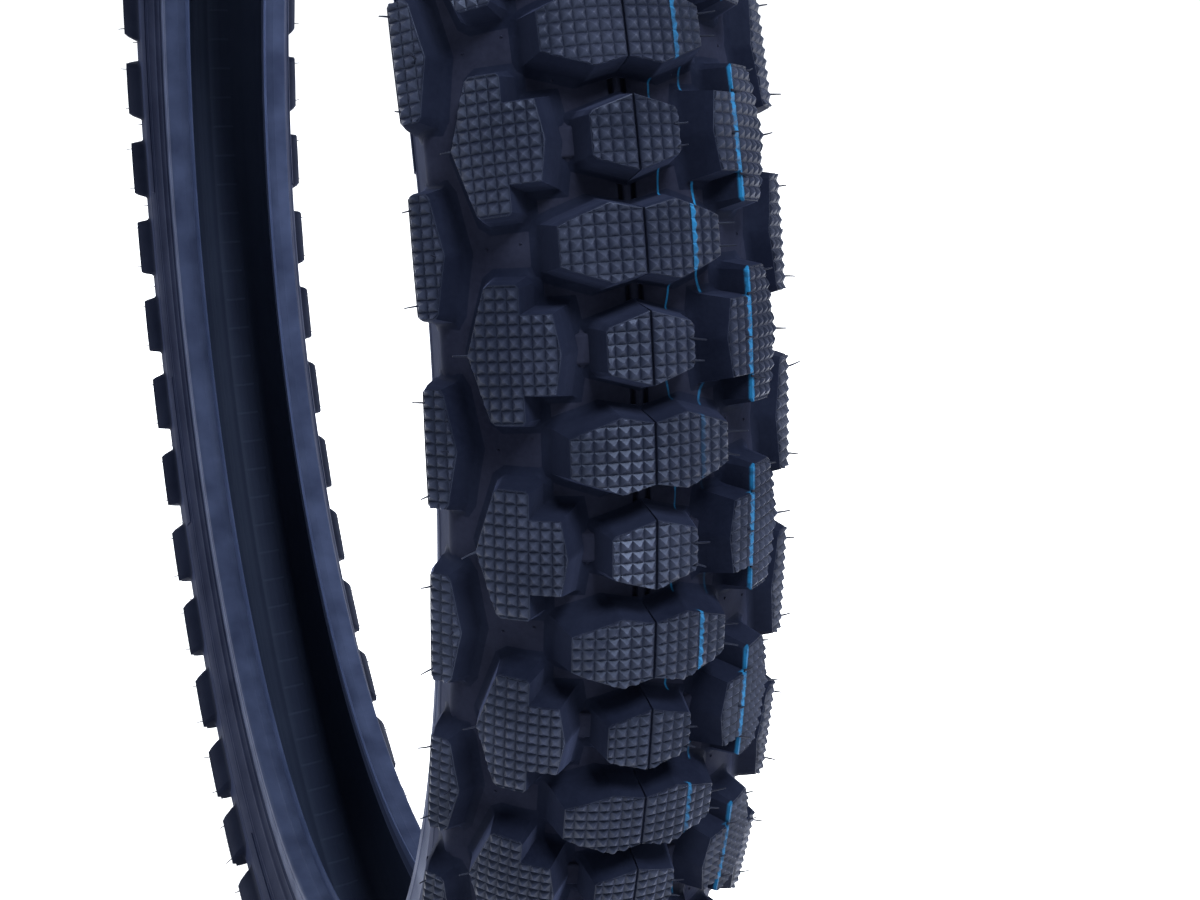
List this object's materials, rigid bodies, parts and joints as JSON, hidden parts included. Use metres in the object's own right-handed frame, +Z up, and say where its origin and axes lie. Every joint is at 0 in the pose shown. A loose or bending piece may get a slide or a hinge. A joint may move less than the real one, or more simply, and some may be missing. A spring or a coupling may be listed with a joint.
{
  "type": "motorcycle tyre",
  "caption": "Off-road motorcycle front tyre off its rim: knurled tread knobs, vented shoulders, plies, wire beads and open tube channel.",
  "frame": {"origin": "wheel centre, on the axle line in the middle plane of the tread", "axes": "+Y along the axle towards the right bead, +Z up with a wide centre knob at the bottom, +X towards the front"},
  "size_m": [0.695, 0.0924, 0.695],
  "materials": {
    "knob_rubber": "satin moulded, knurled tops",
    "tread_rubber": "satin moulded",
    "sidewall_rubber": "satin moulded, fine rings",
    "liner_rubber": "dull, faint cord lines",
    "chafer_fabric": "rubbered fabric, dull",
    "toe_rubber": "satin",
    "filler_rubber": "matte",
    "ply_cord": "rubbered nylon cord",
    "breaker_cord": "rubbered nylon cord",
    "wrap_tape": "woven tape",
    "bead_wire": "bronze coated steel wire"
  },
  "bodies": {
    "root": {"inner_liner": "liner_rubber", "body_ply_1": "ply_cord", "body_ply_2": "ply_cord", "breaker_1": "breaker_cord", "breaker_2": "breaker_cord", "tread_base": "tread_rubber", "centre_wide_knobs": "knob_rubber", "centre_small_knobs": "knob_rubber", "mid_knobs_left": "knob_rubber", "mid_knobs_right": "knob_rubber", "shoulder_knobs_left": "knob_rubber", "shoulder_knobs_right": "knob_rubber", "sidewall_left": "sidewall_rubber", "sidewall_right": "sidewall_rubber", "chafer_left": "chafer_fabric", "chafer_right": "chafer_fabric", "toe_strip_left": "toe_rubber", "toe_strip_right": "toe_rubber", "bead_filler_left": "filler_rubber", "bead_filler_right": "filler_rubber", "bead_wrap_left": "wrap_tape", "bead_wrap_right": "wrap_tape", "bead_insulation_left": "filler_rubber", "bead_insulation_right": "filler_rubber", "bead_wires_left": "bead_wire", "bead_wires_right": "bead_wire"}
  },
  "joints": []
}
